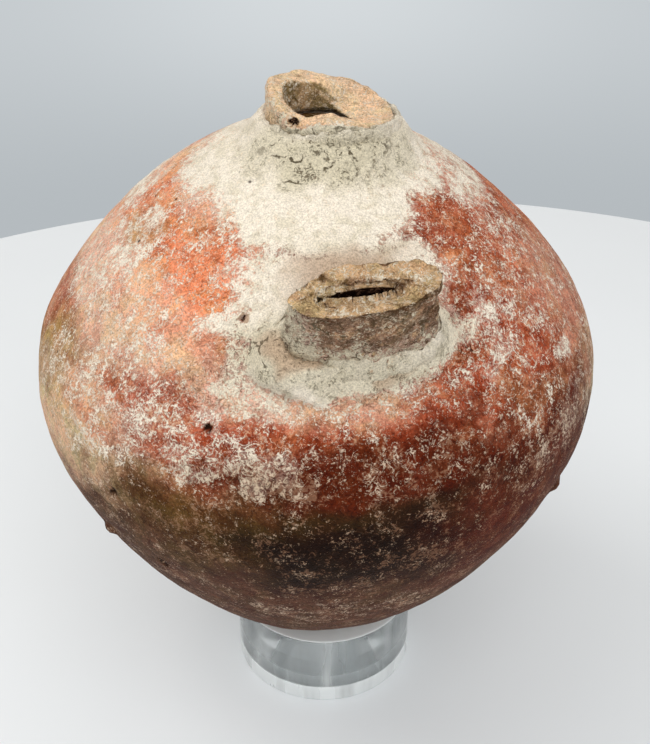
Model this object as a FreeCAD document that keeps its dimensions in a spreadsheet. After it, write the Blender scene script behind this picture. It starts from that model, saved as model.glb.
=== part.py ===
import FreeCAD, Part
import math
import os

import PartDesign
import Sketcher

# A round-bottomed clay infant feeder, hand built in two halves, with a short lopsided neck and
# the stub of a flattened spout, standing on a clear ring. Millimetres, +Z up. The origin is on
# the floor under the middle of the belly, and the spout looks towards -Y.
# The clay pieces are drawn about the vessel's own axis, from the girth, and then placed.

# Driving sizes: name, value, what it measures. Lengths in millimetres, turns in degrees.
SIZES = [
    ("ring_radius", 19.0, "outside of the ring stand"),
    ("ring_bore_radius", 13.0, "hole of the ring stand"),
    ("ring_height", 17.7, "height of the ring stand"),
    ("ring_across", 1.5, "ring's axis beside the vessel's axis, along X"),
    ("ring_edge", 0.4, "broken edges of the ring"),
    ("seat_clearance", 0.2, "height of the vessel over the ring's upper edge"),
    ("belly_radius", 54.0, "largest radius, at the girth"),
    ("wall", 4.5, "thickness of the clay wall"),
    ("bowl_belly_arc", 33.3, "outline arc of the bowl next to the girth"),
    ("bowl_flank_arc", 95.4, "outline arc of the bowl's flank"),
    ("bowl_pole_arc", 30.0, "outline arc of the bowl's round base"),
    ("bowl_reach", 62.0, "girth to the lowest point"),
    ("dome_belly_arc", 27.6, "outline arc of the dome next to the girth"),
    ("dome_flank_arc", 87.4, "outline arc of the dome's shoulder"),
    ("dome_pole_arc", 41.8, "outline arc of the dome's crown"),
    ("dome_reach", 48.4, "girth to the top of the crown"),
    ("neck_across", 2.6, "neck's axis beside the vessel's axis, along X"),
    ("neck_back", 0.8, "neck's axis behind the vessel's axis, along Y"),
    ("neck_lip_radius", 11.7, "outside of the neck at its lip"),
    ("neck_foot_radius", 12.7, "outside of the neck at its foot"),
    ("neck_side_arc", 80.0, "hollow of the neck's side"),
    ("neck_rise", 4.8, "top of the crown to the middle of the worn lip"),
    ("lip_tilt", 13.0, "slope of the worn lip, down towards +X"),
    ("lip_round_share", 0.39, "rounding of the worn lip, as a share of its narrowest width"),
    ("mouth_radius", 5.9, "radius of the mouth"),
    ("mouth_across", 0.5, "mouth's axis beside the vessel's axis, along X"),
    ("mouth_front", 0.2, "mouth's axis in front of the vessel's axis, along Y"),
    ("dish_radius", 11.0, "hollow of the dish worn in the low side of the lip"),
    ("dish_across", 8.3, "middle of the dish beside the vessel's axis, along X"),
    ("dish_down", 4.5, "middle of the lip to the bottom of the dish"),
    ("neck_coil_width", 5.6, "how far the coil stands out from the neck, at its foot"),
    ("neck_coil_rise", 0.8, "top of the crown to the top of the coil round the neck"),
    ("neck_coil_edge", 0.5, "thickness of the coil's upper edge"),
    ("neck_coil_arc", 25.0, "hollow of the coil's face"),
    ("spout_azimuth", 10.3, "spout's turn from -Y towards +X"),
    ("spout_lean", 24.0, "spout's lean outwards from upright"),
    ("spout_seat_share", 0.722, "middle of the spout's seat, as a share of the belly's radius"),
    ("spout_length", 12.9, "shoulder to the middle of the broken end, along the spout"),
    ("spout_end_width", 24.6, "long way across the broken end"),
    ("spout_end_depth", 10.0, "short way across the broken end"),
    ("spout_waist_width", 25.4, "long way across the spout's waist"),
    ("spout_waist_depth", 10.4, "short way across the spout's waist"),
    ("spout_waist_down", 8.0, "broken end to the waist, along the spout"),
    ("spout_root_width", 30.5, "long way across the spout's root"),
    ("spout_root_depth", 11.5, "short way across the spout's root"),
    ("spout_root_down", 20.0, "broken end to the root, along the spout"),
    ("break_slant", 9.0, "slope of the broken end, down towards -X"),
    ("slit_width", 12.0, "length of the slit in the broken end"),
    ("slit_depth", 1.7, "height of the slit in the broken end"),
    ("slit_across", 1.0, "slit's middle beside the spout's middle, towards -X"),
    ("hollow_width", 22.6, "long way across the shape that hollows the broken end"),
    ("hollow_depth", 8.0, "short way across the shape that hollows the broken end"),
    ("hollow_out", 2.7, "middle of that shape below the slit, towards the lower lip"),
    ("hollow_rise", 1.5, "broken end to the wide end of that shape, along the spout"),
    ("hollow_down", 1.1, "broken end to where the hollow meets the slit, along the spout"),
    ("channel_width", 14.0, "long way across the channel inside the vessel"),
    ("channel_depth", 6.0, "short way across the channel inside the vessel"),
    ("channel_down", 23.0, "broken end to the channel's inner end, along the spout"),
    ("spout_coil_width", 1.6, "how far the clay coil stands out from the spout"),
    ("spout_coil_thick", 1.2, "thickness of the clay coil over the shoulder"),
    ("overrun", 3.0, "how far a cutting shape runs past what it cuts"),
]

os.makedirs("parts", exist_ok=True)
doc = FreeCAD.newDocument("infant_feeder")
sheet = doc.addObject("Spreadsheet::Sheet", "Sizes")
for line, (name, value, note) in enumerate(SIZES, start=1):
    sheet.set(f"A{line}", name)
    sheet.set(f"B{line}", str(value))
    sheet.set(f"C{line}", note)
    sheet.setAlias(f"B{line}", name)
doc.recompute()

# Points of a sketch's shapes, and the sketch's own axes and origin.
START, END, CENTRE = range(1, 4)
H_AXIS, V_AXIS = -1, -2
ORIGIN = (-1, 1)
FULL_TURN = 360


def value_of(text):
    """The value of an expression on the sheet's names."""
    return float(sheet.evalExpression(text))


def size(name):
    """The value of one named size."""
    return value_of(f"Sizes.{name}")


def point(x, y):
    return FreeCAD.Vector(x, y, 0)


# Sketch tools

def attach(item, body, role):
    """Put a sketch or a simple shape on one of the body's own origin planes."""
    plane = next(feature for feature in body.Origin.OriginFeatures if feature.Role == role)
    item.AttachmentSupport = [(plane, "")]
    item.MapMode = "FlatFace"


def new_sketch(body, name, role="XZ_Plane"):
    sketch = body.newObject("Sketcher::SketchObject", name)
    attach(sketch, body, role)
    return sketch


def shift(item, x="0", y="0", z="0", yaw="0", pitch="0", roll="0"):
    """Move and turn a sketch or a simple shape off its plane, by expressions on the sheet."""
    vector = f"create(<<vector>>; {x}; {y}; {z})"
    rotation = f"create(<<rotation>>; {yaw}; {pitch}; {roll})"
    item.setExpression("AttachmentOffset", f"create(<<placement>>; {vector}; {rotation})")


def join(sketch, one, one_end, other, other_end, kind="Coincident"):
    sketch.addConstraint(Sketcher.Constraint(kind, one, one_end, other, other_end))


def on_axis(sketch, shape, end, axis):
    sketch.addConstraint(Sketcher.Constraint("PointOnObject", shape, end, axis))


def measure(sketch, text, kind, *where):
    """A dimension held to an expression on the sheet."""
    index = sketch.addConstraint(Sketcher.Constraint(kind, *where, value_of(text)))
    sketch.setExpression(f"Constraints[{index}]", text)


def add_line(sketch, start, end):
    return sketch.addGeometry(Part.LineSegment(start, end))


def add_arc(sketch, centre, radius, low, high):
    circle = Part.Circle(centre, FreeCAD.Vector(0, 0, 1), radius)
    return sketch.addGeometry(Part.ArcOfCircle(circle, low, high))


def place_point(sketch, shape, end, x, y):
    """Hold a point of a sketch by its distances from the sketch's axes."""
    for kind, text, axis in (("DistanceX", x, V_AXIS), ("DistanceY", y, H_AXIS)):
        if text == "0":
            on_axis(sketch, shape, end, axis)
        else:
            measure(sketch, text, kind, *ORIGIN, shape, end)


def polygon(sketch, corners):
    """A closed outline of straight lines through corners given as pairs of expressions."""
    spots = [point(value_of(x), value_of(y)) for x, y in corners]
    lines = [add_line(sketch, spot, spots[(i + 1) % len(spots)]) for i, spot in enumerate(spots)]
    for i, shape in enumerate(lines):
        join(sketch, shape, END, lines[(i + 1) % len(lines)], START)
        place_point(sketch, shape, START, *corners[i])
    return lines


# Features

def new_body(label):
    body = doc.addObject("PartDesign::Body", label)
    body.Label = label
    return body


def new_vessel_body(label):
    """A body drawn from the girth, set at the height where the vessel rests on its ring."""
    body = new_body(label)
    base_centre = ("sqrt(Sizes.bowl_pole_arc^2"
                   " - (Sizes.ring_bore_radius - Sizes.ring_across)^2)")
    body.setExpression("Placement.Base.z",
                       f"Sizes.ring_height + Sizes.seat_clearance + {base_centre}"
                       " - Sizes.bowl_pole_arc + Sizes.bowl_reach")
    return body


def turn(body, sketch, kind="Revolution"):
    """Turn a sketch once round its own upright axis, to add or to cut."""
    feature = body.newObject(f"PartDesign::{kind}", f"{sketch.Name}_{kind.lower()}")
    feature.Profile = sketch
    feature.ReferenceAxis = (sketch, ["V_Axis"])
    feature.Angle = FULL_TURN
    sketch.Visibility = False
    return feature


def loft(body, sketches, kind="AdditiveLoft"):
    """A smooth loft through sketches, to add or to cut."""
    feature = body.newObject(f"PartDesign::{kind}", f"{sketches[0].Name}_{kind.lower()}")
    feature.Profile = sketches[0]
    feature.Sections = sketches[1:]
    return feature


def pocket(body, sketch, upwards):
    """Cut a sketch through all that lies above it, or below it."""
    feature = body.newObject("PartDesign::Pocket", f"{sketch.Name}_pocket")
    feature.Profile = sketch
    feature.Type = "ThroughAll"
    feature.Reversed = upwards
    return feature


def checked(body, feature, before):
    """Make sure that a cut took something away and left a sound solid."""
    doc.recompute()
    after = feature.Shape.Volume
    if not 0 < after < before:
        raise RuntimeError(f"{body.Label}: {feature.Label} cut nothing")
    return after


# The vessel's outline: a belly, a flank and a pole arc, each tangent to the next

BOWL = ("bowl", -1)
DOME = ("dome", 1)
ARCS = ("belly", "flank", "pole")


def arc_ends(half):
    """The end of each arc towards the girth, and the end towards the pole."""
    return (START, END) if half[1] > 0 else (END, START)


def arc_centres(half):
    """Centres of the three arcs: the flank's lies where it is tangent to both others."""
    name, side = half
    belly, flank, pole = (size(f"{name}_{part}_arc") for part in ARCS)
    belly_centre = point(size("belly_radius") - belly, 0)
    pole_centre = point(0, side * (size(f"{name}_reach") - pole))
    across = pole_centre - belly_centre
    along = ((flank - belly) ** 2 - (flank - pole) ** 2 + across.Length ** 2) / (2 * across.Length)
    aside = side * math.sqrt((flank - belly) ** 2 - along ** 2)
    across.normalize()
    flank_centre = belly_centre + across * along + point(-across.y, across.x) * aside
    return belly_centre, flank_centre, pole_centre


def dome_height(reach):
    """The height of the dome's outline at a distance from the vessel's axis, as an expression."""
    belly, flank, pole = (f"Sizes.dome_{part}_arc" for part in ARCS)
    out = f"(Sizes.belly_radius - {belly})"
    up = f"(Sizes.dome_reach - {pole})"
    span = f"sqrt({out}^2 + {up}^2)"
    along = f"((({flank} - {belly})^2 - ({flank} - {pole})^2 + {span}^2) / 2 / {span})"
    aside = f"sqrt(({flank} - {belly})^2 - {along}^2)"
    flank_in = f"(({out} * {along} + {up} * {aside}) / {span} - {out})"
    flank_up = f"(({up} * {along} - {out} * {aside}) / {span})"
    crown = f"{up} + sqrt({pole}^2 - ({reach})^2)"
    shoulder = f"{flank_up} + sqrt({flank}^2 - ({reach} + {flank_in})^2)"
    crown_ends = f"{pole} * {flank_in} / ({flank} - {pole})"
    return f"({reach} < {crown_ends} ? {crown} : {shoulder})"


def add_outline(sketch, half, stand_off=0):
    """Draw one half's outline, moved outwards by stand_off."""
    name, side = half
    centres = arc_centres(half)
    lines = [centre - centres[1] for centre in (centres[0], centres[2])]
    turns = [0, *(math.atan2(item.y, item.x) for item in lines), side * math.pi / 2]
    arcs = []
    for part, centre, low, high in zip(ARCS, centres, turns, turns[1:]):
        radius = size(f"{name}_{part}_arc") + stand_off
        arcs.append(add_arc(sketch, centre, radius, min(low, high), max(low, high)))
    return arcs


def join_outline(sketch, half, arcs):
    """Join the arcs smoothly, with one end at the girth and the other at the pole."""
    near, far = arc_ends(half)
    for one, other in zip(arcs, arcs[1:]):
        join(sketch, one, far, other, near, "Tangent")
    on_axis(sketch, arcs[0], near, H_AXIS)
    on_axis(sketch, arcs[-1], far, V_AXIS)


def hold_outline(sketch, half, arcs, stand_off="0"):
    """Hold an outline to the sheet's sizes."""
    name, side = half
    near, far = arc_ends(half)
    join_outline(sketch, half, arcs)
    on_axis(sketch, arcs[0], CENTRE, H_AXIS)
    on_axis(sketch, arcs[-1], CENTRE, V_AXIS)
    measure(sketch, f"Sizes.belly_radius + {stand_off}", "DistanceX", *ORIGIN, arcs[0], near)
    pole = (*ORIGIN, arcs[-1], far) if side > 0 else (arcs[-1], far, *ORIGIN)
    measure(sketch, f"Sizes.{name}_reach + {stand_off}", "DistanceY", *pole)
    for part, shape in zip(ARCS, arcs):
        measure(sketch, f"Sizes.{name}_{part}_arc + {stand_off}", "Radius", shape)


def wall_sketch(body, half):
    """The section of one half's wall, of even thickness, open at the girth."""
    name, side = half
    near, far = arc_ends(half)
    wall = size("wall")
    sketch = new_sketch(body, f"{name}_wall")
    outer = add_outline(sketch, half)
    inner = add_outline(sketch, half, -wall)
    hold_outline(sketch, half, outer)
    join_outline(sketch, half, inner)
    for one, other in zip(outer, inner):
        join(sketch, one, CENTRE, other, CENTRE)
    edge = size("belly_radius")
    rim = add_line(sketch, point(edge, 0), point(edge - wall, 0))
    pole = side * size(f"{name}_reach")
    base = add_line(sketch, point(0, pole), point(0, pole - side * wall))
    for closing, shape, end in ((rim, 0, near), (base, -1, far)):
        join(sketch, closing, START, outer[shape], end)
        join(sketch, closing, END, inner[shape], end)
    measure(sketch, "Sizes.wall", "Distance", rim)
    return sketch


def dome_sketch(body):
    """All that lies inside the dome's outline."""
    near, far = arc_ends(DOME)
    sketch = new_sketch(body, f"{body.Name}_seat", "YZ_Plane")
    arcs = add_outline(sketch, DOME)
    hold_outline(sketch, DOME, arcs)
    base = add_line(sketch, point(0, 0), point(size("belly_radius"), 0))
    axis = add_line(sketch, point(0, 0), point(0, size("dome_reach")))
    for closing, shape, end in ((base, 0, near), (axis, -1, far)):
        join(sketch, closing, START, *ORIGIN)
        join(sketch, closing, END, arcs[shape], end)
    return sketch


def sky_sketch(body, stand_off):
    """All that lies further than stand_off outside the dome's outline."""
    near, far = arc_ends(DOME)
    sketch = new_sketch(body, f"{body.Name}_sky")
    arcs = add_outline(sketch, DOME, value_of(stand_off))
    hold_outline(sketch, DOME, arcs, stand_off)
    out = f"Sizes.belly_radius + {stand_off} + Sizes.overrun"
    top = f"Sizes.dome_reach + {stand_off} + Sizes.overrun"
    low_inner = point(value_of(f"Sizes.belly_radius + {stand_off}"), 0)
    low_outer = point(value_of(out), 0)
    high_outer = point(value_of(out), value_of(top))
    high_inner = point(0, value_of(top))
    pole = point(0, value_of(f"Sizes.dome_reach + {stand_off}"))
    floor = add_line(sketch, low_inner, low_outer)
    side = add_line(sketch, low_outer, high_outer)
    roof = add_line(sketch, high_outer, high_inner)
    axis = add_line(sketch, high_inner, pole)
    join(sketch, floor, START, arcs[0], near)
    join(sketch, axis, END, arcs[-1], far)
    for one, other in ((floor, side), (side, roof), (roof, axis)):
        join(sketch, one, END, other, START)
    place_point(sketch, floor, END, out, "0")
    place_point(sketch, side, END, out, top)
    place_point(sketch, roof, END, "0", top)
    return sketch


# The neck

def round_sketch(body, name, radius, **place):
    """A circle on a level or tilted plane."""
    sketch = new_sketch(body, name, "XY_Plane")
    shift(sketch, **place)
    normal = FreeCAD.Vector(0, 0, 1)
    circle = sketch.addGeometry(Part.Circle(point(0, 0), normal, value_of(radius)))
    join(sketch, circle, CENTRE, *ORIGIN)
    measure(sketch, radius, "Radius", circle)
    return sketch


def neck_foot():
    """The height of the collars' foot, just inside the crown all round the coil."""
    aside = "sqrt(Sizes.neck_across^2 + Sizes.neck_back^2)"
    reach = f"Sizes.neck_foot_radius + Sizes.neck_coil_width + {aside}"
    return f"{dome_height(reach)} - Sizes.overrun"


def collar_sketch(body, name, foot, lip, top, hollow):
    """A collar's section about the neck's axis, solid, with a hollow side."""
    sketch = new_sketch(body, name)
    shift(sketch, x="Sizes.neck_across", z="-Sizes.neck_back")
    low = neck_foot()
    lower, upper = point(value_of(foot), value_of(low)), point(value_of(lip), value_of(top))
    side = upper - lower
    radius = value_of(hollow)
    outwards = point(side.y, -side.x).normalize()
    reach = math.sqrt(radius ** 2 - (side.Length / 2) ** 2)
    centre = (lower + upper) / 2 + outwards * reach
    ends = [math.atan2(spot.y - centre.y, spot.x - centre.x) % math.tau for spot in (upper, lower)]
    face = add_arc(sketch, centre, radius, *ends)
    floor = add_line(sketch, point(0, lower.y), lower)
    roof = add_line(sketch, upper, point(0, upper.y))
    axis = add_line(sketch, point(0, upper.y), point(0, lower.y))
    join(sketch, floor, END, face, END)
    join(sketch, roof, START, face, START)
    join(sketch, roof, END, axis, START)
    join(sketch, axis, END, floor, START)
    place_point(sketch, floor, START, "0", low)
    place_point(sketch, floor, END, foot, low)
    place_point(sketch, roof, START, lip, top)
    place_point(sketch, roof, END, "0", top)
    measure(sketch, hollow, "Radius", face)
    return sketch


def neck_sketch(body):
    """The outside of the neck, run up past its worn lip."""
    top = ("Sizes.dome_reach + Sizes.neck_rise + Sizes.overrun"
           " + Sizes.neck_lip_radius * tan(Sizes.lip_tilt)")
    return collar_sketch(body, f"{body.Name}_neck", "Sizes.neck_foot_radius",
                         "Sizes.neck_lip_radius", top, "Sizes.neck_side_arc")


def cut_mouth(body):
    """The round mouth, straight up through the crown and the neck."""
    sketch = round_sketch(body, f"{body.Name}_mouth", "Sizes.mouth_radius",
                          x="Sizes.mouth_across", y="-Sizes.mouth_front")
    return pocket(body, sketch, upwards=True)


def cut_dish(body):
    """The shallow dish worn into the low side of the lip, beside the mouth."""
    dish = body.newObject("PartDesign::SubtractiveSphere", "worn_dish")
    attach(dish, body, "XY_Plane")
    dish.setExpression("Radius", "Sizes.dish_radius")
    shift(dish, x="Sizes.dish_across", y="Sizes.neck_back",
          z="Sizes.dome_reach + Sizes.neck_rise - Sizes.dish_down + Sizes.dish_radius")
    return dish


def lip_edges(shape):
    """Names of the edges of the worn lip, which is the one sloping flat face."""
    tilt = FreeCAD.Rotation(FreeCAD.Vector(0, 1, 0), size("lip_tilt"))
    normal = tilt.multVec(FreeCAD.Vector(0, 0, 1))
    lip = next(face for face in shape.Faces if face.Surface.TypeId == "Part::GeomPlane"
               and face.normalAt(0, 0).isEqual(normal, Part.Precision.confusion()))
    return [f"Edge{number}" for number, edge in enumerate(shape.Edges, start=1)
            if any(edge.isSame(other) for other in lip.Edges)]


# The spout

def on_spout(down):
    """A place on the spout's axis, at a distance down from the broken end."""
    seat = "Sizes.spout_seat_share * Sizes.belly_radius"
    up = f"(Sizes.spout_length - ({down}))"
    reach = f"({seat} + {up} * sin(Sizes.spout_lean))"
    return {"x": f"{reach} * sin(Sizes.spout_azimuth)",
            "y": f"-{reach} * cos(Sizes.spout_azimuth)",
            "z": f"{dome_height(seat)} + {up} * cos(Sizes.spout_lean)"}


def oval_sketch(body, name, down, width, depth, across="0", above="0"):
    """An oval across the spout's axis, at a distance down from the broken end."""
    sketch = new_sketch(body, name, "XY_Plane")
    shift(sketch, **on_spout(down), yaw="Sizes.spout_azimuth", roll="Sizes.spout_lean")
    centre = point(value_of(across), value_of(above))
    long_end = centre + point(value_of(width) / 2, 0)
    short_end = centre + point(0, value_of(depth) / 2)
    oval = sketch.addGeometry(Part.Ellipse(long_end, short_end, centre))
    sketch.exposeInternalGeometry(oval)
    long_line, short_line = oval + 1, oval + 2
    place_point(sketch, oval, CENTRE, across, above)
    sketch.addConstraint(Sketcher.Constraint("Horizontal", long_line))
    measure(sketch, width, "Distance", long_line)
    measure(sketch, depth, "Distance", short_line)
    return sketch


def spout_loft(body, kind="AdditiveLoft", grown="0"):
    """The flattened spout, from inside the shoulder to past its broken end."""
    places = (("root", "Sizes.spout_root_down"), ("waist", "Sizes.spout_waist_down"),
              ("end", "-Sizes.overrun"))
    sections = [oval_sketch(body, f"{body.Name}_{kind}_{part}", down,
                            f"Sizes.spout_{part}_width + {grown}",
                            f"Sizes.spout_{part}_depth + {grown}") for part, down in places]
    return loft(body, sections, kind)


def cut_channel(body):
    """The channel from the vessel's inside to the slit in the broken end."""
    across = "-Sizes.slit_across"
    sections = [oval_sketch(body, f"{body.Name}_channel", "Sizes.channel_down",
                            "Sizes.channel_width", "Sizes.channel_depth", across),
                oval_sketch(body, f"{body.Name}_slit", "-2 * Sizes.overrun",
                            "Sizes.slit_width", "Sizes.slit_depth", across)]
    return loft(body, sections, "SubtractiveLoft")


def cut_hollow(body):
    """The hollow worn between the slit and the lower lip of the broken end."""
    across = "-Sizes.slit_across"
    sections = [oval_sketch(body, "hollow_foot", "Sizes.hollow_down", "Sizes.slit_width",
                            "Sizes.slit_depth", across),
                oval_sketch(body, "hollow_rim", "-Sizes.hollow_rise", "Sizes.hollow_width",
                            "Sizes.hollow_depth", across, "-Sizes.hollow_out")]
    return loft(body, sections, "SubtractiveLoft")


def break_sketch(body):
    """A disc on the plane of the broken end, wider than the spout."""
    return round_sketch(body, f"{body.Name}_break", "Sizes.spout_end_width", **on_spout("0"),
                        yaw="Sizes.spout_azimuth", pitch="-Sizes.break_slant",
                        roll="Sizes.spout_lean")


# The pieces

def make_ring():
    """The clear ring that the round base stands in."""
    body = new_body("ring_stand")
    body.setExpression("Placement.Base.x", "Sizes.ring_across")
    sketch = new_sketch(body, "ring_section")
    inner, outer, top = "Sizes.ring_bore_radius", "Sizes.ring_radius", "Sizes.ring_height"
    polygon(sketch, [(inner, "0"), (outer, "0"), (outer, top), (inner, top)])
    ring = turn(body, sketch)
    doc.recompute()
    edges = [f"Edge{number}" for number, edge in enumerate(ring.Shape.Edges, start=1)
             if edge.Curve.TypeId == "Part::GeomCircle"]
    chamfer = body.newObject("PartDesign::Chamfer", "ring_edges")
    chamfer.Base = (ring, edges)
    chamfer.setExpression("Size", "Sizes.ring_edge")
    return body


def make_bowl():
    """The lower half of the clay vessel."""
    body = new_vessel_body("lower_bowl")
    turn(body, wall_sketch(body, BOWL))
    return body


def make_dome():
    """The upper half, pierced for the mouth and for the spout's channel."""
    body = new_vessel_body("upper_dome")
    shell = turn(body, wall_sketch(body, DOME))
    doc.recompute()
    volume = checked(body, cut_mouth(body), shell.Shape.Volume)
    checked(body, cut_channel(body), volume)
    return body


def make_neck():
    """The short neck, trimmed to the crown that it stands on, with its lip worn to a slope."""
    body = new_vessel_body("neck")
    collar = turn(body, neck_sketch(body))
    doc.recompute()
    slope = round_sketch(body, "worn_lip", "Sizes.neck_lip_radius + Sizes.overrun",
                         x="Sizes.neck_across", y="Sizes.neck_back",
                         z="Sizes.dome_reach + Sizes.neck_rise", pitch="Sizes.lip_tilt")
    volume = checked(body, turn(body, dome_sketch(body), "Groove"), collar.Shape.Volume)
    lip = pocket(body, slope, upwards=True)
    checked(body, lip, volume)
    rounding = body.newObject("PartDesign::Fillet", "lip_rounding")
    rounding.Base = (lip, lip_edges(lip.Shape))
    aside = ("sqrt((Sizes.neck_across - Sizes.mouth_across)^2"
             " + (Sizes.neck_back + Sizes.mouth_front)^2)")
    width = f"Sizes.neck_lip_radius - Sizes.mouth_radius - {aside}"
    rounding.setExpression("Radius", f"Sizes.lip_round_share * ({width})")
    volume = checked(body, rounding, lip.Shape.Volume)
    volume = checked(body, cut_mouth(body), volume)
    checked(body, cut_dish(body), volume)
    return body


def make_neck_coil():
    """The clay coil pressed round the neck's foot."""
    body = new_vessel_body("neck_coil")
    sketch = collar_sketch(body, "neck_coil_section",
                           "Sizes.neck_foot_radius + Sizes.neck_coil_width",
                           "Sizes.neck_lip_radius + Sizes.neck_coil_edge",
                           "Sizes.dome_reach + Sizes.neck_coil_rise", "Sizes.neck_coil_arc")
    collar = turn(body, sketch)
    doc.recompute()
    volume = checked(body, turn(body, neck_sketch(body), "Groove"), collar.Shape.Volume)
    checked(body, turn(body, dome_sketch(body), "Groove"), volume)
    return body


def make_spout():
    """The stub of the flattened spout, broken off aslant, trimmed to the shoulder."""
    body = new_vessel_body("spout")
    stub = spout_loft(body)
    doc.recompute()
    volume = checked(body, pocket(body, break_sketch(body), upwards=True), stub.Shape.Volume)
    volume = checked(body, turn(body, dome_sketch(body), "Groove"), volume)
    volume = checked(body, cut_channel(body), volume)
    checked(body, cut_hollow(body), volume)
    return body


def make_spout_coil():
    """The clay pressed round the spout's root, of even thickness on the shoulder."""
    body = new_vessel_body("spout_coil")
    pad = spout_loft(body, grown="2 * Sizes.spout_coil_width")
    doc.recompute()
    volume = checked(body, turn(body, dome_sketch(body), "Groove"), pad.Shape.Volume)
    sky = sky_sketch(body, "Sizes.spout_coil_thick")
    volume = checked(body, turn(body, sky, "Groove"), volume)
    checked(body, spout_loft(body, "SubtractiveLoft"), volume)
    return body


pieces = [make_ring(), make_bowl(), make_dome(), make_neck(), make_neck_coil(), make_spout(),
          make_spout_coil()]
doc.recompute()

for item in doc.Objects:
    if {"Invalid", "Error"} & set(item.State):
        raise RuntimeError(f"{item.Label} failed: {item.State}")
for piece in pieces:
    shape = piece.Shape
    if shape.isNull() or not shape.isValid() or len(shape.Solids) != 1:
        raise RuntimeError(f"{piece.Label} is not one sound solid")
for piece in pieces:
    piece.Shape.exportStep(f"parts/{piece.Label}.step")
    box = piece.Shape.BoundBox
    print(f"{piece.Label}: {piece.Shape.Volume:.0f} mm3, z {box.ZMin:.2f} to {box.ZMax:.2f}")
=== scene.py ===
import math

import bpy
import numpy as np
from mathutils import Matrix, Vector, noise
from mathutils.bvhtree import BVHTree
from mathutils.geometry import convex_hull_2d


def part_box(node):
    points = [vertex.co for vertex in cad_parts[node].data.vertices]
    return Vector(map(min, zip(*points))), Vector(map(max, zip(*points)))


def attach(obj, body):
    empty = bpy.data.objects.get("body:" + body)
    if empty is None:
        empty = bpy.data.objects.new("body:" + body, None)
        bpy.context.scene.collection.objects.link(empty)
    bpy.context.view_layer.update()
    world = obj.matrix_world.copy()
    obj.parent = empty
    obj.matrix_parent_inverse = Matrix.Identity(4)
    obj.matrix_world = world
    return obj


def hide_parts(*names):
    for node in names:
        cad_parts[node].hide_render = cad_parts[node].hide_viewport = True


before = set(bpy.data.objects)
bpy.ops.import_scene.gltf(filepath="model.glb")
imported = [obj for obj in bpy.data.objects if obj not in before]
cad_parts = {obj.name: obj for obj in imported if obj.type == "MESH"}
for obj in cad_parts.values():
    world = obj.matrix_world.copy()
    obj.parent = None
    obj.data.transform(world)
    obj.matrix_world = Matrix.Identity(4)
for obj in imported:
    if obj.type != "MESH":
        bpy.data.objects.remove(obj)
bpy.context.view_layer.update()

bl_info = {
    "name": "Infant feeder finish",
    "version": (1, 0, 0),
    "blender": (4, 5, 0),
    "location": "3D View > Sidebar > Feeder",
    "description": "Dresses the packed clay feeder and its clear ring, and sets its stage",
    "category": "Object",
}

MM = 0.001

# The edges of the patches of slip and lime wander the same way in each run.
WANDER_SEED = 1
noise.seed_set(WANDER_SEED)


def tone(red, green, blue):
    """A colour written as on a screen, from 0 to 255, turned to the shader's own scale."""
    def one(value):
        value /= 255
        return value / 12.92 if value <= 0.04045 else ((value + 0.055) / 1.055) ** 2.4
    return (one(red), one(green), one(blue))


def colour(name, description, red, green, blue):
    return bpy.props.FloatVectorProperty(name=name, description=description, subtype="COLOR",
                                         size=3, min=0, max=1, default=tone(red, green, blue))


def number(name, description, value, unit):
    return bpy.props.FloatProperty(name=name, description=description, unit=unit, min=0,
                                   default=value)


def length(name, description, millimetres):
    return number(name, description, millimetres * MM, "LENGTH")


class FeederClay(bpy.types.PropertyGroup):
    """Colours of the fired clay, its slip and its lime, and the sizes of its wear."""
    orange_slip: colour("Orange slip", "Thin, bright slip on the left shoulder", 228, 132, 90)
    salmon_slip: colour("Salmon slip", "Slip rubbed down to a pink film", 238, 182, 154)
    red_slip: colour("Red slip", "Full slip on the right side", 163, 70, 39)
    rust_slip: colour("Rust slip", "Dark slip over the belly", 88, 28, 6)
    ochre: colour("Ochre", "Yellow clay where the slip has gone", 172, 130, 74)
    buff: colour("Buff", "Pale brown clay where the slip has gone", 218, 182, 146)
    # Besides the slip's olive patches, umber is painted shade in the bore under the mouth and a
    # painted shadow under the spout's broken end.
    umber: colour("Umber", "Olive brown edge of the fire mark", 88, 58, 24)
    # Besides the fire mark, this near-black is painted shade: on the floors of the pits, the rim
    # pit and the grit pits, and inside the spout's slit.
    smoke_and_painted_shade: colour("Smoke", "Fire mark, nearly black", 30, 12, 3)
    plum: colour("Plum", "Grey pink clay under the belly", 88, 54, 39)
    lime: colour("Lime", "Pale crust on the shoulder", 243, 232, 214)
    grey_lime: colour("Grey lime", "Shaded, pitted crust", 206, 196, 168)
    film: colour("Pink film", "Thin lime that the slip shows through", 240, 204, 186)
    grime: colour("Grime", "Dirt in the crust's pits and cracks", 74, 62, 40)
    tan: colour("Tan", "Broken and worn edges", 236, 200, 164)
    # Partly painted shade: the spout's walls take this colour, darker than the break above them,
    # in part for the shade under the spout's end.
    shade_clay: colour("Shaded clay", "Stained underside of the spout", 132, 104, 84)
    break_clay: colour("Broken clay", "Stained break across the spout's end", 194, 160, 120)
    # In the neck's bore this colour is partly painted shade.
    core: colour("Core", "Inside of the clay", 146, 122, 84)
    skin_step: length("Skin step", "Width of the body's mesh faces", 0.75)
    fine_step: length("Fine step", "Width of the neck's and the spout's mesh faces", 0.36)
    swell: length("Swell", "Unevenness of the hand-built wall", 0.8)
    crust: length("Crust", "Height of the lime's lumps", 0.6)
    foot: length("Foot", "Height of the crust at the foot of the neck and of the spout", 5.0)
    smear: length("Smear", "How far the packing is drawn up a wall", 2.6)
    pinch: length("Pinch", "How far the sides of the spout's slit are drawn in", 0.75)


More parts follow.
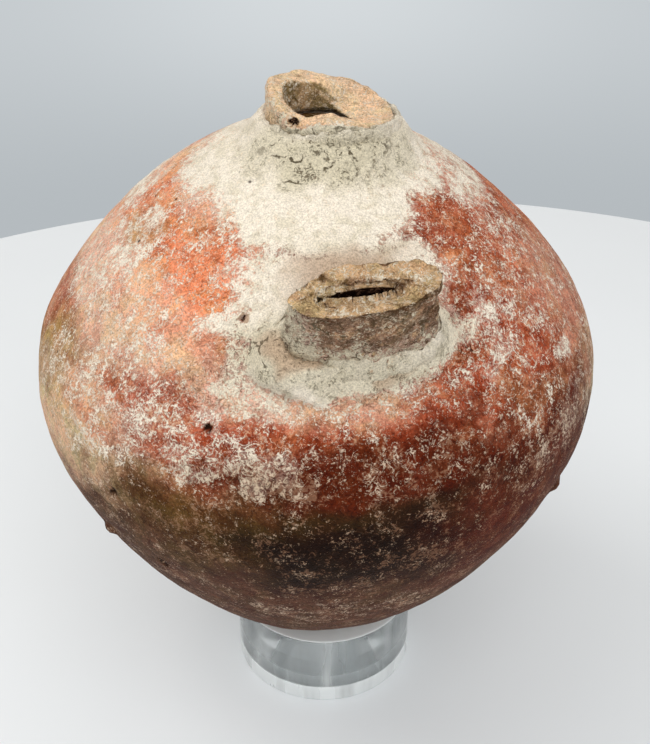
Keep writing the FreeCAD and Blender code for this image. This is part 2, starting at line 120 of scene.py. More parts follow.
class FeederRing(bpy.types.PropertyGroup):
    """Sizes and colour of the clear ring."""
    wall: length("Wall", "Thickness of the ring's wall", 6.0)
    edge: length("Edge", "Rounding of the ring's edges", 0.4)
    # This band, like the top rim, is painted light: whiter and less clear, for light carried
    # through the plastic.
    band: length("Band", "Height of the whiter band at the ring's foot", 4.0)
    tint: colour("Tint", "Colour of the clear ring", 244, 248, 248)


class FeederStage(bpy.types.PropertyGroup):
    """The table, the backdrop, the lamps and the camera."""
    table_radius: length("Table radius", "Round table top", 274.2)
    table_depth: length("Table depth", "Thickness of the table top", 20.0)
    table: colour("Table", "Pale table top", 229, 232, 234)
    backdrop_low: colour("Backdrop low", "Grey wall behind the table", 181, 187, 191)
    backdrop_high: colour("Backdrop high", "The same wall, higher up", 213, 218, 221)
    key: number("Key lamp", "Power of the large top lamp", 2.6, "POWER")
    fill: number("Fill", "Strength of the light all round", 0.78, "NONE")
    lens: number("Lens", "Focal length of the camera", 62.9, "CAMERA")


# Mesh tools. Lengths, reaches and heights are in millimetres.

def select_only(*pieces):
    """Select these objects and nothing else, the first one active."""
    bpy.ops.object.select_all(action="DESELECT")
    for piece in pieces:
        piece.select_set(True)
    bpy.context.view_layer.objects.active = pieces[0]


def new_object(name, data):
    """A new object, linked to the scene."""
    made = bpy.data.objects.new(name, data)
    bpy.context.scene.collection.objects.link(made)
    return made


def edit(kind="VERT", action="SELECT"):
    """Open the active object's mesh for edits, with all of it selected or none."""
    bpy.ops.object.mode_set(mode="EDIT")
    bpy.ops.mesh.select_mode(type=kind)
    bpy.ops.mesh.select_all(action=action)


def close_edit():
    bpy.ops.object.mode_set(mode="OBJECT")


def merged_copy(name, *nodes):
    """One new object from copies of CAD nodes, with its doubles merged."""
    copies = [new_object(name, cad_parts[node].data.copy()) for node in nodes]
    select_only(*copies)
    if len(copies) > 1:
        bpy.ops.object.join()
    piece = copies[0]
    piece.data.materials.clear()
    edit()
    bpy.ops.mesh.remove_doubles(threshold=0.001 * MM)
    close_edit()
    return piece


def worked(piece, kind, **settings):
    """Give a piece a modifier and apply it."""
    select_only(piece)
    bpy.ops.object.modifier_add(type=kind)
    modifier = piece.modifiers[-1]
    for name, value in settings.items():
        setattr(modifier, name, value)
    bpy.ops.object.modifier_apply(modifier=modifier.name)


def remeshed(piece, step, rounds):
    """Rebuild a piece's mesh from even faces of this width, and smooth it a number of times."""
    worked(piece, "REMESH", mode="VOXEL", voxel_size=step)
    worked(piece, "SMOOTH", factor=0.5, iterations=rounds)


def read_points(piece, value):
    """A place (co) or a direction (normal) for each of the piece's points."""
    rows = np.empty(len(piece.data.vertices) * 3, np.float32)
    piece.data.vertices.foreach_get(value, rows)
    return rows.reshape(-1, 3).astype(float)


def places(piece):
    """The piece's points, in millimetres."""
    return read_points(piece, "co") / MM


def facing(piece):
    """Which way the surface looks at each of the piece's points."""
    return read_points(piece, "normal")


def wavering(spots, reach):
    """A smooth wandering direction at each point, repeating over about this reach."""
    return np.array([noise.noise_vector(Vector(spot / reach)) for spot in spots])


def rising(values, start, over):
    """0 up to the start, then evenly up to 1 over this much more."""
    return np.clip((values - start) / over, 0, 1)


def falling(values, start, over):
    """0 from the start on, and evenly up to 1 over this much less."""
    return np.clip((start - values) / over, 0, 1)


def search_tree(piece):
    """The piece's surface, ready to say what is near a point or along a ray."""
    return BVHTree.FromPolygons([point.co for point in piece.data.vertices],
                                [tuple(face.vertices) for face in piece.data.polygons])


def sheltered(piece, reach):
    """The points that look at clay of their own piece within this reach, as in a slit."""
    tree = search_tree(piece)
    start = 0.05 * MM
    return np.array([tree.ray_cast(point.co + point.normal * start, point.normal,
                                   reach * MM)[0] is not None
                     for point in piece.data.vertices])


WEIGHT_STEPS = 32


def weighted(piece, name, weights):
    """Store weights from 0 to 1 as a vertex group."""
    group = piece.vertex_groups.new(name=name)
    steps = np.clip(np.round(weights * WEIGHT_STEPS), 0, WEIGHT_STEPS).astype(int)
    for step in range(1, WEIGHT_STEPS + 1):
        rows = np.flatnonzero(steps == step)
        if len(rows):
            group.add(rows.tolist(), step / WEIGHT_STEPS, "REPLACE")
    return group.name


def raised(piece, group, weights, height):
    """Move the surface out by a height, or in if it is negative, as far as the weights let it."""
    worked(piece, "DISPLACE", strength=height * MM, mid_level=0,
           vertex_group=weighted(piece, group, weights))


def roughened(piece, relief, height, middle, group=""):
    """Move the surface out and in by a cloudy relief, within a vertex group or all over."""
    worked(piece, "DISPLACE", texture=relief, strength=height * MM, mid_level=middle,
           texture_coords="LOCAL", vertex_group=group)


def lumps(name, reach, depth=2):
    """A cloudy relief whose humps are about this wide."""
    relief = bpy.data.textures.new(name, "CLOUDS")
    relief.noise_scale = reach * MM
    relief.noise_depth = depth
    return relief


def push(piece, place, direction, reach):
    """Draw the surface round a place by a distance, as with a thumb or a tool."""
    nearest = int(np.argmin(np.linalg.norm(places(piece) - np.array(place), axis=1)))
    select_only(piece)
    edit("VERT", "DESELECT")
    close_edit()
    piece.data.vertices[nearest].select = True
    bpy.ops.object.mode_set(mode="EDIT")
    bpy.ops.transform.translate(value=Vector(direction) * MM, use_proportional_edit=True,
                                proportional_edit_falloff="SMOOTH",
                                proportional_size=reach * MM)
    close_edit()


# Where things lie on the vessel's skin. Heights and distances are in millimetres.

def read_outline():
    """Heights and radii of the vessel's outside, which bulges all the way round its section."""
    spots = np.concatenate([places(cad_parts[node]) for node in ("lower_bowl", "upper_dome")])
    section = np.column_stack([np.hypot(spots[:, 0], spots[:, 1]), spots[:, 2]])
    section = np.concatenate([section, section * (-1, 1)])
    hull = section[convex_hull_2d([tuple(spot) for spot in section])]
    hull = hull[hull[:, 0] >= 0]
    hull = hull[np.argsort(hull[:, 1])]
    return hull[:, 1], hull[:, 0]


OUTLINE = read_outline()


def skin_radius(height):
    """The radius of the vessel's outside at a height."""
    return np.interp(height, *OUTLINE)


def on_skin(turn, height):
    """A place on the skin: degrees from the front towards the right, and a height."""
    angle = math.radians(turn)
    radius = skin_radius(height)
    return np.array([radius * math.sin(angle), -radius * math.cos(angle), height])


# The mouth's axis, beside the vessel's own.
MOUTH = (0.5, -0.2)

# The spout's axis: where it leaves the skin, and the way it points.
SPOUT_TURN = 10.3
SPOUT_LEAN = math.radians(24)
SPOUT_FOOT = on_skin(SPOUT_TURN, 106.3)
SPOUT_ACROSS = np.array([math.cos(math.radians(SPOUT_TURN)), math.sin(math.radians(SPOUT_TURN)),
                         0])
SPOUT_OUT = np.array([math.sin(math.radians(SPOUT_TURN)), -math.cos(math.radians(SPOUT_TURN)), 0])
SPOUT_UP = SPOUT_OUT * math.sin(SPOUT_LEAN) + np.array([0, 0, math.cos(SPOUT_LEAN)])

# The crust's foot round the neck and the spout: radius of the neck, half widths of the spout
# across and out, the heights above which each foot lies, and how far a foot runs out.
NECK_FOOT = 12.2
SPOUT_ROOT = (13.2, 5.6)
NECK_FOOT_LEVEL = 118
SPOUT_ROOT_LEVEL = 96
FOOT_REACH = 5.5

# Its mound at the spout's left: middle, and half widths, across the spout and out of it.
MOUND = (-11, 4)
MOUND_REACH = (7.5, 8)


def from_upright(spots, x, y):
    """How far each point lies from an upright line."""
    return np.hypot(spots[:, 0] - x, spots[:, 1] - y)


def from_neck(spots):
    """How far each point lies from the neck's own axis."""
    low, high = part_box("neck")
    middle = (low + high) / 2 / MM
    return from_upright(spots, middle.x, middle.y)


def from_spout(spots):
    """Each point's place across the spout, out of it and along it."""
    away = spots - SPOUT_FOOT
    out = np.cross(SPOUT_ACROSS, SPOUT_UP)
    return away @ SPOUT_ACROSS, away @ out, away @ SPOUT_UP


def foot_slope(spots):
    """How high the crust's foot stands at each point of the skin, as a share of its height."""
    def slope(away):
        return np.clip(1 - away / FOOT_REACH, 0, 1) * np.clip(2 + away, 0, 1)

    neck = slope(from_neck(spots) - NECK_FOOT) * (spots[:, 2] > NECK_FOOT_LEVEL)
    across, out = from_spout(spots)[:2]
    far = np.maximum(np.hypot(across / SPOUT_ROOT[0], out / SPOUT_ROOT[1]), 0.01)
    root = slope((far - 1) * np.hypot(across, out) / far)
    root *= (spots[:, 2] > SPOUT_ROOT_LEVEL) * (spots[:, 1] < -20)
    left = np.clip(1.1 - np.hypot((across - MOUND[0]) / MOUND_REACH[0],
                                  (out - MOUND[1]) / MOUND_REACH[1]), 0, 1) * (root > 0)
    return 0.62 * neck ** 1.5 + 0.43 * root ** 1.4 + 0.9 * left


# The share of a patch's half width by which its edge fades, inwards and outwards.
PATCH_FADE = 0.5


def patch(spots, turn, height, wide, high):
    """How far each point lies inside an oval patch on the skin, from 0 to 1."""
    middle = on_skin(turn, height)
    turns = np.degrees(np.arctan2(spots[:, 0], -spots[:, 1]))
    away = (turns - turn + 180) % 360 - 180
    radii = np.hypot(spots[:, 0], spots[:, 1])
    radius = math.hypot(middle[0], middle[1])
    across = np.radians(away) * (radii + radius) / 2
    along = np.hypot(spots[:, 2] - middle[2], radii - radius)
    far = np.sqrt((across / wide) ** 2 + (along / high) ** 2)
    inside = falling(far, 1 + PATCH_FADE, 2 * PATCH_FADE)
    return inside ** 2 * (3 - 2 * inside)


# Slip and clay on the skin: finish, turn, height, half width, half height, strength.
SLIP = [
    ("salmon_slip", 0, 126, 32, 18, 1.0),
    ("salmon_slip", 180, 121, 60, 12, 0.9),
    ("red_slip", 180, 98, 50, 16, 0.9),
    ("red_slip", 100, 97, 36, 14, 0.8),
    ("salmon_slip", -110, 97, 36, 13, 0.8),
    ("red_slip", 84, 112, 26, 11, 0.85),
    ("salmon_slip", -85, 112, 20, 12, 0.7),
    ("orange_slip", -62, 112, 26, 12, 0.9),
    ("orange_slip", -40, 107, 16, 10, 1.0),
    ("ochre", -66, 112, 6, 4, 0.7),
    ("salmon_slip", -50, 99, 26, 7, 0.75),
    ("salmon_slip", -62, 106, 16, 5, 0.6),
    ("salmon_slip", -86, 102, 12, 9, 0.8),
    ("red_slip", -82, 94, 14, 6, 0.8),
    ("ochre", -72, 88, 16, 7, 0.85),
    ("umber", -70, 86, 5, 4, 0.6),
    ("buff", -56, 82, 22, 9, 0.85),
    ("salmon_slip", -62, 76, 10, 8, 0.5),
    ("salmon_slip", -42, 92, 12, 6, 0.6),
    ("orange_slip", -50, 90, 9, 4, 0.5),
    ("red_slip", -28, 92, 16, 7, 0.9),
    ("red_slip", 6, 94, 32, 7, 1.0),
    ("salmon_slip", 4, 98.5, 24, 4, 0.7),
    ("red_slip", 52, 98, 24, 15, 1.0),
    ("orange_slip", 76, 112, 22, 10, 0.2),
    ("red_slip", 52, 117, 12, 6, 0.8),
    ("orange_slip", 49, 113, 3, 2.5, 0.6),
    ("salmon_slip", 84, 98, 16, 12, 0.35),
    ("rust_slip", 26, 88, 40, 7, 1.0),
    ("red_slip", 38, 96, 20, 4, 0.6),
    ("rust_slip", -12, 84, 20, 4, 0.6),
    ("rust_slip", 54, 88, 16, 7, 0.7),
    ("buff", 84, 82, 16, 8, 0.5),
    ("orange_slip", 50, 91, 12, 5, 0.25),
    ("orange_slip", -22, 82, 12, 4, 0.35),
    ("rust_slip", -36, 80, 14, 5, 0.5),
    ("umber", -18, 78, 24, 5, 0.9),
    ("umber", 6, 80, 22, 4, 0.7),
    ("smoke_and_painted_shade", 14, 82, 26, 3.5, 0.55),
    ("smoke_and_painted_shade", 8, 73, 28, 8, 1.0),
    ("smoke_and_painted_shade", -8, 68, 24, 6, 0.85),
    ("umber", -30, 69, 18, 7, 0.7),
    ("rust_slip", 46, 74, 20, 9, 0.8),
    ("smoke_and_painted_shade", 16, 62, 24, 6, 0.6),
    ("plum", 2, 48, 40, 11, 0.95),
    ("plum", -40, 56, 24, 15, 0.9),
    ("rust_slip", 42, 60, 14, 12, 0.75),
    ("plum", 60, 50, 24, 12, 0.6),
    ("orange_slip", 138, 104, 26, 12, 0.7),
    ("red_slip", 165, 94, 36, 14, 0.9),
    ("ochre", -150, 86, 26, 10, 0.7),
    ("salmon_slip", -140, 106, 30, 10, 0.7),
    ("smoke_and_painted_shade", 150, 70, 34, 12, 0.7),
    ("buff", -110, 66, 30, 13, 0.7),
    ("buff", 110, 62, 26, 11, 0.6),
    ("plum", 180, 44, 90, 15, 0.8),
]

# Lime crust on the skin: turn, height, half width, half height, how closely it covers.
LIME = [
    (0, 126, 60, 20, 1.7),
    (-60, 122, 24, 3, 1.1),
    (2, 119, 19, 7, 1.7),
    (9, 112, 19, 6, 1.6),
    (7, 106, 20, 5, 1.5),
    (6, 101, 18, 4, 1.1),
    (-20, 107, 6, 4, 1.2),
    (-15, 110, 7, 5, 1.4),
    (-17, 101, 9, 5, 0.9),
    (-13, 96, 9, 4, 0.75),
    (10, 98, 20, 4, 0.42),
    (38, 105, 7, 6, 0.8),
    (-67, 113, 6, 4, 0.7),
    (-61, 108, 6, 4, 0.6),
    (-66, 102, 14, 4, 0.5),
    (-48, 100, 18, 7, 0.48),
    (-60, 108, 34, 14, 0.4),
    (-43, 109, 15, 9, 0.47),
    (-32, 96, 12, 8, 0.5),
    (-58, 88, 18, 9, 0.46),
    (-76, 106, 16, 12, 0.62),
    (-84, 108, 20, 12, 0.4),
    (-42, 91, 14, 5, 0.62),
    (-52, 86, 14, 5, 0.48),
    (-38, 87, 12, 3.5, 0.5),
    (-24, 87, 7, 3, 0.6),
    (-8, 88, 7, 3.5, 0.5),
    (-24, 93, 14, 7, 0.35),
    (54, 106, 12, 6, 0.52),
    (44, 99, 8, 4, 0.6),
    (62, 104, 26, 16, 0.42),
    (67, 93, 6, 4, 0.6),
    (70, 119, 12, 4, 0.62),
    (72, 113, 22, 8, 0.5),
    (62, 83, 14, 6, 0.45),
    (52, 79, 10, 4, 0.38),
    (84, 96, 16, 14, 0.3),
    (-20, 90, 12, 5, 0.5),
    (36, 96, 22, 6, 0.38),
    (26, 90, 40, 7, 0.3),
    (67, 93, 4, 2.5, 1.0),
    (44, 87, 0.5, 4, 0.62),
    (40, 81, 12, 4, 0.3),
    (10, 77, 40, 7, 0.08),
    (2, 50, 24, 8, 0.3),
    (-38, 56, 20, 13, 0.2),
    (110, 116, 24, 7, 1.0),
    (140, 96, 14, 8, 0.7),
    (-120, 112, 20, 7, 1.1),
    (-135, 90, 16, 7, 0.7),
    (170, 113, 24, 8, 1.2),
    (180, 50, 80, 12, 0.2),
]

# Where the slip shows through the lime: turn, height, half width, half height, how much is gone.
BARE = [
    (-29, 117, 2.0, 5, 0.6),
    (-34, 112, 2.5, 5, 0.6),
    (-24, 101, 1.6, 3, 0.6),
    (40, 108, 1.6, 4, 0.5),
    (54, 116, 6, 7, 0.62),
]

# Where the crust is grey and pitted: turn, height, half width, half height, strength.
SOIL = [
    (6, 124, 15, 5.5, 1.0),
    (50, 123, 9, 4, 0.7),
    (8, 116, 9, 2.5, 0.25),
    (-8, 104, 11, 5, 0.9),
    (10, 101, 20, 4, 0.75),
    (36, 104, 5, 6, 0.6),
    (-18, 98, 9, 4, 0.5),
    (-16, 86, 12, 5, 0.5),
]

# Pits, their floors painted near-black as painted shade, and knobs: turn, height, radius.
PITS = [(-17.7, 107.7, 0.45), (-20.5, 93.4, 0.5), (-39.7, 76.3, 0.5), (-33.3, 60.6, 0.6),
        (-33.0, 59.2, 0.5)]
KNOBS = [(-50, 59.9, 1.2), (61, 64.5, 1.3)]


def one_colour(spots, finish):
    """The same colour for every point."""
    return np.tile(np.array(finish), (len(spots), 1))


def laid(tints, finish, cover):
    """Lay a colour over the tints, as closely as the cover says at each point."""
    cover = cover[:, None]
    return tints * (1 - cover) + np.array(finish) * cover


def slip_tints(spots, start):
    """The slip's colour at each point, laid on patch by patch over a starting colour."""
    clay = bpy.context.scene.feeder_clay
    moved = spots + wavering(spots, 9) * 5 + wavering(spots, 3.5) * 2
    tints = one_colour(spots, start)
    for finish, turn, height, wide, high, strength in SLIP:
        tints = laid(tints, getattr(clay, finish),
                     patch(moved, turn, height, wide, high) * strength)
    return tints


def closest_cover(spots, rows, least):
    """The strongest of these patches at each point, and nowhere less than the least."""
    cover = np.full(len(spots), least)
    for turn, height, wide, high, strength in rows:
        cover = np.maximum(cover, patch(spots, turn, height, wide, high) * strength)
    return cover


def lime_cover(spots, least):
    """How closely lime covers each point: bare at 0, and whole at 1 and above."""
    moved = spots + wavering(spots, 7) * 4
    cover = closest_cover(moved, LIME, least)
    cover = np.maximum(cover, 1.7 * np.clip(4.5 * foot_slope(spots), 0, 1))
    for turn, height, wide, high, gone in BARE:
        cover = cover * (1 - patch(moved, turn, height, wide, high) * gone)
    return cover


def soil_cover(spots):
    """How grey and pitted the crust is at each point, from 0 to 1."""
    return closest_cover(spots + wavering(spots, 5) * 3, SOIL, 0.0)


def dots(spots, rows):
    """How near each point lies to the middle of one of these round marks, from 0 to 1."""
    cover = np.zeros(len(spots))
    for turn, height, radius in rows:
        away = np.linalg.norm(spots - on_skin(turn, height), axis=1)
        cover = np.maximum(cover, np.clip(1.6 - away / radius, 0, 1))
    return cover


def keep(piece, name, values):
    """Store a value, or a colour, for each point of a piece."""
    kind = "FLOAT_COLOR" if values.ndim == 2 else "FLOAT"
    store = piece.data.attributes.new(name=name, type=kind, domain="POINT")
    if values.ndim == 2:
        store.data.foreach_set("color", np.column_stack([values, np.ones(len(values))]).ravel())
    else:
        store.data.foreach_set("value", values)


# Materials

def shade(tree, kind, inputs=None, **settings):
    """Add a shader node. Its inputs are numbers, colours, or other nodes' outputs."""
    made = tree.nodes.new("ShaderNode" + kind)
    for name, value in settings.items():
        setattr(made, name, value)
    for name, value in (inputs or {}).items():
        if isinstance(value, bpy.types.NodeSocket):
            tree.links.new(value, made.inputs[name])
        else:
            made.inputs[name].default_value = value
    return made


def stored(tree, name, output="Fac"):
    """What is kept under this name at each point of the piece."""
    return shade(tree, "Attribute", attribute_name=name).outputs[output]


def sums(tree, operation, one, other=0.0, third=0.0):
    """Arithmetic on numbers and on other nodes' outputs."""
    return shade(tree, "Math", {0: one, 1: other, 2: third}, operation=operation).outputs[0]


def product(tree, one, other):
    return sums(tree, "MULTIPLY", one, other)


def ramp(tree, value, low, high, start=0.0, end=1.0):
    """Turn a value between low and high into start to end, smoothly."""
    made = shade(tree, "MapRange", {"Value": value, "From Min": low, "From Max": high,
                                    "To Min": start, "To Max": end},
                 interpolation_type="SMOOTHSTEP")
    return made.outputs["Result"]


def mixed(tree, share, one, other, blend="MIX"):
    """Mix two colours."""
    made = shade(tree, "Mix", data_type="RGBA", blend_type=blend)
    for number, value in ((0, share), (6, one), (7, other)):
        if isinstance(value, bpy.types.NodeSocket):
            tree.links.new(value, made.inputs[number])
        else:
            made.inputs[number].default_value = (*value, 1) if number else value
    return made.outputs[2]


def times(tree, colour, factor):
    """Multiply a colour by another, or by a number that changes from point to point."""
    return mixed(tree, 1.0, colour, factor, "MULTIPLY")


def grain(tree, where, millimetres, detail=4.0, rough=0.55, twist=0.0):
    """Fractal grain whose largest spots are about this wide, drawn into threads by a twist."""
    made = shade(tree, "TexNoise", {"Vector": where, "Scale": 1 / (millimetres * MM),
                                    "Detail": detail, "Roughness": rough, "Distortion": twist})
    return made.outputs["Fac"]


def cells(tree, where, millimetres, feature="F1"):
    """How far each place is from the middle, or from the edge, of cells about this wide."""
    made = shade(tree, "TexVoronoi", {"Vector": where, "Scale": 1 / (millimetres * MM)},
                 feature=feature)
    return made.outputs["Distance"]


def level_of(tree, start, *grains):
    """A starting level raised and lowered by grains, each given with its weight."""
    level = start
    for weight, one in grains:
        level = sums(tree, "ADD", level, product(tree, sums(tree, "SUBTRACT", one, 0.5), weight))
    return level


def new_material(name):
    material = bpy.data.materials.new(name)
    material.use_nodes = True
    tree = material.node_tree
    surface = next(item for item in tree.nodes if item.type == "BSDF_PRINCIPLED")
    return material, tree, surface


def bumped(tree, surface, relief, strength, millimetres):
    """Shade a surface as if a relief of this depth stood on it."""
    made = shade(tree, "Bump", {"Strength": strength, "Distance": millimetres * MM,
                                "Height": relief})
    tree.links.new(made.outputs[0], surface.inputs["Normal"])


# The grains of a clay material, from broad clouds to dust: width, detail, roughness, twist.
GRAINS = {
    "broad": (9, 3, 0.55),
    "middle": (2.7, 4, 0.62),
    "cloud": (3.9, 5, 0.68),
    "hue": (6.1, 4, 0.6, 0.6),
    "fine": (0.72, 3, 0.7, 1.4),
    "crumb": (0.9, 3, 0.7, 1.2),
    "dust": (0.3, 2, 0.6),
}


class ClayShares:
    """What the layers of a clay material share: the piece's kept values, and grains."""

    def __init__(self, tree):
        clay = bpy.context.scene.feeder_clay
        self.where = shade(tree, "TexCoord").outputs["Object"]
        self.tint = stored(tree, "tint", "Color")
        self.lime = stored(tree, "lime")
        self.soil = stored(tree, "soil")
        for name, settings in GRAINS.items():
            setattr(self, name, grain(tree, self.where, *settings))
        # The fire mark is dark in red. Pale clay, bright in green, shows its stains less.
        parts = shade(tree, "SeparateColor", {"Color": self.tint}).outputs
        self.bright = ramp(tree, parts[0], 0.02, 0.3)
        self.depth = sums(tree, "MULTIPLY_ADD", ramp(tree, parts[1], 0.05, 0.35), -0.5, 0.8)
        self.brown = mixed(tree, 0.26, clay.rust_slip, clay.buff)


def slip_layer(tree, own, olive):
    """Slip in paler and deeper clouds, with worn spots, stains and specks.

    The fire mark keeps its slip, and shows little of the wear.
    """
    clay = bpy.context.scene.feeder_clay
    pale = times(tree, mixed(tree, product(tree, own.bright, 0.2), own.tint,
                             clay.salmon_slip), (1.4, 1.3, 1.2))
    slip = mixed(tree, ramp(tree, own.cloud, 0.46, 0.66, 0, 0.6), own.tint, pale)
    yellower = times(tree, slip, (1.02, 1.38, 1.16))
    slip = mixed(tree, ramp(tree, own.hue, 0.44, 0.62, 0, olive), slip, yellower)
    slip = times(tree, slip, ramp(tree, own.crumb, 0.3, 0.7, 0.68, 1.3))
    deep = times(tree, slip, (0.6, 0.42, 0.32))

    def deepened(colour, share):
        return mixed(tree, product(tree, share, own.depth), colour, deep)

    slip = deepened(slip, ramp(tree, own.cloud, 0.5, 0.34))

    # Spots worn down to the clay, and stains.
    wear = level_of(tree, -0.24, (1.1, own.broad), (1.3, own.cloud), (2.0, own.crumb))
    worn = product(tree, ramp(tree, wear, -0.05, 0.08, 0, 0.75),
                   sums(tree, "MULTIPLY_ADD", own.bright, 0.2, 0.8))
    bare = mixed(tree, sums(tree, "MULTIPLY_ADD", own.bright, 0.2, 0.15),
                 mixed(tree, own.bright, own.brown, clay.buff), own.tint)
    slip = mixed(tree, worn, slip, bare)
    stain = level_of(tree, -0.3, (-1.0, own.middle), (-2.2, own.crumb))
    slip = deepened(slip, ramp(tree, stain, -0.04, 0.12))

    # Specks: powdery ones all over, and dark ones where dirt has stayed.
    speck = level_of(tree, sums(tree, "MULTIPLY_ADD", own.bright, 0.24, -0.38),
                     (2.8, own.fine), (1.2, own.middle))
    powdery = mixed(tree, own.bright, mixed(tree, 0.35, own.brown, clay.buff),
                    mixed(tree, 0.3, mixed(tree, 0.5, clay.buff, clay.lime), own.tint))
    slip = mixed(tree, ramp(tree, speck, -0.04, 0.2, 0, 0.85), slip, powdery)
    dirt = level_of(tree, -0.3, (-2.4, own.fine), (-1.0, own.cloud))
    return deepened(slip, ramp(tree, dirt, -0.04, 0.12))


def lime_layer(tree, own, slip):
    """Lime over the slip: whole where it is thick, in flakes and specks where it is thin.

    Gives the colour, and how closely the crust covers.
    """
    clay = bpy.context.scene.feeder_clay
    thread = sums(tree, "ABSOLUTE", sums(
        tree, "SUBTRACT", grain(tree, own.where, 1.9, 3, 0.6, 0.9), 0.5))
    level = level_of(tree, sums(tree, "SUBTRACT", own.lime, 0.5), (1.2, own.broad),
                     (1.7, own.middle), (2.3, own.fine), (0.5, ramp(tree, thread, 0.07, 0.0)))
    crust = ramp(tree, level, -0.08, 0.2)
    film = product(tree, ramp(tree, level, -0.55, 0.0), ramp(tree, own.lime, 0.28, 0.8))
    thick = ramp(tree, level, 0.0, 0.5)

    # Its powder: greyer in patches, browner in crumbs, dirty in the soil and the fire mark.
    powder = mixed(tree, ramp(tree, own.middle, 0.36, 0.56, 0.55, 1.0), clay.grey_lime,
                   clay.lime)
    powder = mixed(tree, ramp(tree, own.crumb, 0.42, 0.28, 0, 0.4), powder, clay.buff)
    powder = mixed(tree, product(tree, own.soil, 0.8), powder, clay.grey_lime)
    powder = mixed(tree, sums(tree, "MULTIPLY_ADD", own.bright, -0.8, 0.8), powder,
                   mixed(tree, 0.45, own.brown, clay.buff))
    powder = mixed(tree, thick, mixed(tree, 0.55, powder, slip), powder)
    base = mixed(tree, product(tree, film, 0.55), slip, clay.film)
    return mixed(tree, crust, base, powder), crust


def soil_layer(tree, own, base):
    """Dirt in the crust's hollows, and cracks. Gives the colour, and how dirty it is."""
    clay = bpy.context.scene.feeder_clay
    grime = level_of(tree, -0.16, (-2.4, own.fine), (-1.8, own.middle))
    grime = product(tree, ramp(tree, grime, 0.04, 0.26, 0, 0.75), own.soil)
    drift = shade(tree, "TexNoise", {"Vector": own.where, "Scale": 1 / (1.6 * MM),
                                     "Detail": 3.0}).outputs["Color"]
    wander = shade(tree, "VectorMath", {0: drift, 1: (2.4 * MM,) * 3, 2: own.where},
                   operation="MULTIPLY_ADD").outputs[0]
    edges = cells(tree, wander, 6.5, "DISTANCE_TO_EDGE")
    crack = product(tree, ramp(tree, edges, 0.045, 0.015), ramp(tree, own.middle, 0.5, 0.58))
    crack = product(tree, crack, ramp(tree, own.soil, 0.6, 1.0, 0, 0.9))
    grime = sums(tree, "MAXIMUM", grime, crack)
    return mixed(tree, grime, base, clay.grime), grime


def grit_layer(tree, own, base):
    """Light and dark points all over, and pits where grit has gone, their floors painted
    near-black as painted shade. Gives colour and pits.
    """
    clay = bpy.context.scene.feeder_clay
    base = times(tree, base, ramp(tree, own.dust, 0.3, 0.7, 0.78, 1.16))
    # Painted shade: the grit pits' floors are laid near-black; the same pits are sunk in the bump.
    pit = product(tree, ramp(tree, cells(tree, own.where, 4.2), 0.10, 0.05),
                  ramp(tree, own.broad, 0.52, 0.6))
    return mixed(tree, product(tree, pit, 0.8), base, clay.smoke_and_painted_shade), pit


def clay_material(name, sheen, grit, olive):
    """Fired clay: slip or bare clay in the piece's own tint, under lime where the piece has it."""
    material, tree, surface = new_material(name)
    own = ClayShares(tree)
    base, crust = lime_layer(tree, own, slip_layer(tree, own, olive))
    base, grime = soil_layer(tree, own, base)
    base, pit = grit_layer(tree, own, base)
    tree.links.new(base, surface.inputs["Base Color"])

    dull = ramp(tree, crust, 0, 1, 1.0 - sheen, 0.93)
    tree.links.new(level_of(tree, dull, (0.35, own.fine)), surface.inputs["Roughness"])
    surface.inputs["Specular IOR Level"].default_value = 0.06

    relief = level_of(tree, product(tree, crust, 0.22), (0.9 * grit, own.fine),
                      (0.9 * grit, own.crumb), (0.5 * grit, own.dust))
    relief = sums(tree, "SUBTRACT", relief, product(tree, pit, 0.9))
    relief = sums(tree, "SUBTRACT", relief, product(tree, grime, 0.6))
    bumped(tree, surface, relief, 0.75, 0.5)
    return material


def clear_material(tint):
    """Clear plastic, polished. Its top rim and a low band are dull, and made whiter and less clear
    as painted light, for light carried through the plastic; upright streaks of painted whiteness
    stand for reflections.
    """
    material, tree, surface = new_material("clear_plastic")
    where = shade(tree, "TexCoord").outputs["Object"]
    rim = stored(tree, "rim")
    drawn = shade(tree, "Mapping", {"Vector": where, "Scale": (1, 1, 0.12)}).outputs[0]
    # Upright streaks: they vary the roughness and the tint, and below they whiten the plastic as
    # painted reflections.
    wear = grain(tree, drawn, 5, 3, 0.5)
    hair = grain(tree, where, 0.6, 2, 0.5)
    polish = sums(tree, "ADD", ramp(tree, wear, 0.4, 0.75, 0.01, 0.08),
                  product(tree, rim, 0.35))
    tree.links.new(polish, surface.inputs["Roughness"])
    colours = mixed(tree, ramp(tree, wear, 0.3, 0.7), tint, tuple(part * 0.985 for part in tint))
    tree.links.new(colours, surface.inputs["Base Color"])
    # Painted light: where the rim value is high, and along the streaks, less light passes and the
    # plastic shows whiter.
    clear = ramp(tree, level_of(tree, rim, (1.2, wear)), -0.15, 0.9, 0.92, 0.16)
    tree.links.new(clear, surface.inputs["Transmission Weight"])
    surface.inputs["IOR"].default_value = 1.49
    bumped(tree, surface, hair, 0.08, 0.05)
    return material


# The kinds of clay: sheen, grit, and how far patches turn olive.
CLAYS = {
    "worn_slip": (0.4, 1.0, 0.65),
    "worn_clay": (0.15, 1.6, 0.3),
    "packed_lime": (0.1, 1.8, 0.65),
}


def own_clay(name):
    """The material of this kind of clay, made when it is first asked for."""
    return bpy.data.materials.get(name) or clay_material(name, *CLAYS[name])


def dressed(piece, material, body, slot, *nodes):
    """Finish a piece: smooth shading, material, body and the CAD nodes it stands for. The slot is
    not used.
    """
    select_only(piece)
    bpy.ops.object.shade_smooth()
    piece.data.materials.clear()
    piece.data.materials.append(material)
    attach(piece, body)
    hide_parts(*nodes)


# The pieces

